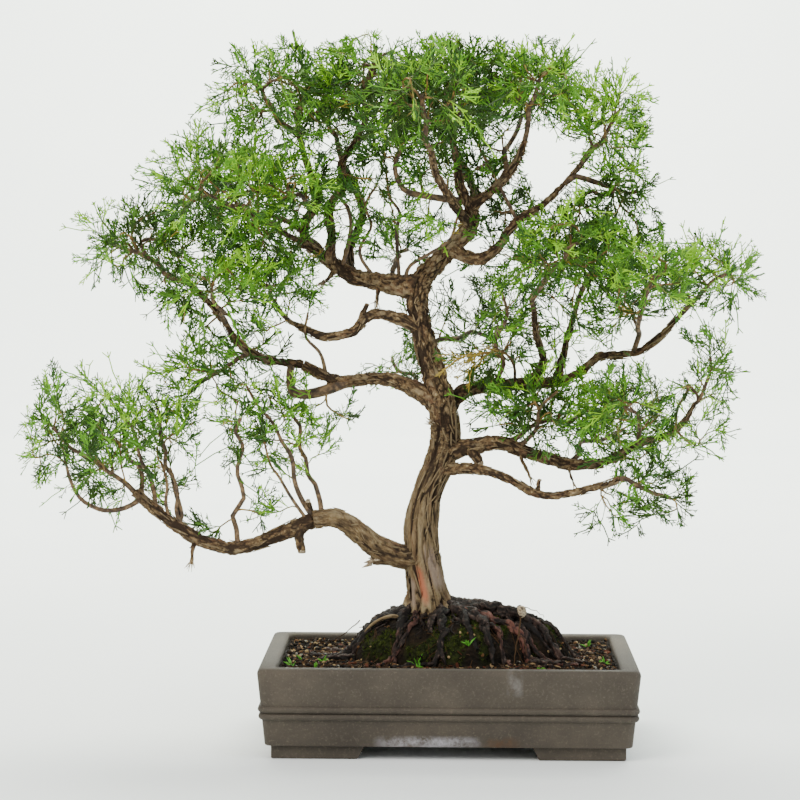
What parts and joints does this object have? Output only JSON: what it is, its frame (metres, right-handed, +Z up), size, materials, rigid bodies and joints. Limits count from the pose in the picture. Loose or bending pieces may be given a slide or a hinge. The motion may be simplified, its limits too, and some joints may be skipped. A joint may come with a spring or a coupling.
{
  "type": "potted bonsai tree",
  "caption": "Bent juniper bonsai with tapering boughs, open pads of fine scale foliage and surface roots, in a shallow unglazed rectangular pot on corner feet.",
  "frame": {"origin": "on the table top, under the middle of the whole plant; the pot stands a little to the right of it and towards the front", "axes": "+Z up, +X to the right as the plant is seen from its front, -Y towards that front"},
  "size_m": [0.4884, 0.2288, 0.4727],
  "materials": {
    "clay": "unglazed, fine matt stoneware",
    "soil": "moist, grainy",
    "bark": "rough, fibrous bark",
    "foliage": "fine living foliage"
  },
  "bodies": {
    "root": {"bough_crown_back": "bark", "bough_crown_back_left": "bark", "bough_crown_front": "bark", "bough_crown_right": "bark", "bough_high_left": "bark", "bough_high_left_crown": "bark", "bough_high_left_rise": "bark", "bough_left_spur": "bark", "bough_low_left_inner": "bark", "bough_low_left_outer": "bark", "bough_low_right_inner": "bark", "bough_low_right_outer": "bark", "bough_low_right_under": "bark", "bough_mid_left_inner": "bark", "bough_mid_left_outer": "bark", "bough_mid_right_back": "bark", "bough_mid_right_inner": "bark", "bough_mid_right_outer": "bark", "bough_mid_right_rise": "bark", "bough_shoulder": "bark", "bough_shoulder_end": "bark", "foliage_apex": "foliage", "foliage_crown_back": "foliage", "foliage_crown_back_left": "foliage", "foliage_crown_back_right": "foliage", "foliage_crown_front": "foliage", "foliage_crown_left": "foliage", "foliage_crown_right": "foliage", "foliage_far_left": "foliage", "foliage_far_right": "foliage", "foliage_high_back": "foliage", "foliage_left_back": "foliage", "foliage_left_front": "foliage", "foliage_left_hanging": "foliage", "foliage_left_inner": "foliage", "foliage_left_low_back": "foliage", "foliage_left_low_front": "foliage", "foliage_low_left_back": "foliage", "foliage_low_left_heel": "foliage", "foliage_low_left_inner": "foliage", "foliage_low_left_rise": "foliage", "foliage_low_left_tip": "foliage", "foliage_low_right_back": "foliage", "foliage_low_right_front": "foliage", "foliage_low_right_hanging": "foliage", "foliage_low_right_inner": "foliage", "foliage_low_right_tip": "foliage", "foliage_near_left": "foliage", "foliage_near_right": "foliage", "foliage_right_back": "foliage", "foliage_right_front": "foliage", "foliage_right_outer_front": "foliage", "foliage_shoulder": "foliage", "foliage_shoulder_low": "foliage", "foliage_upper_left": "foliage", "pot": "clay", "soil": "soil", "trunk": "bark"}
  },
  "joints": []
}
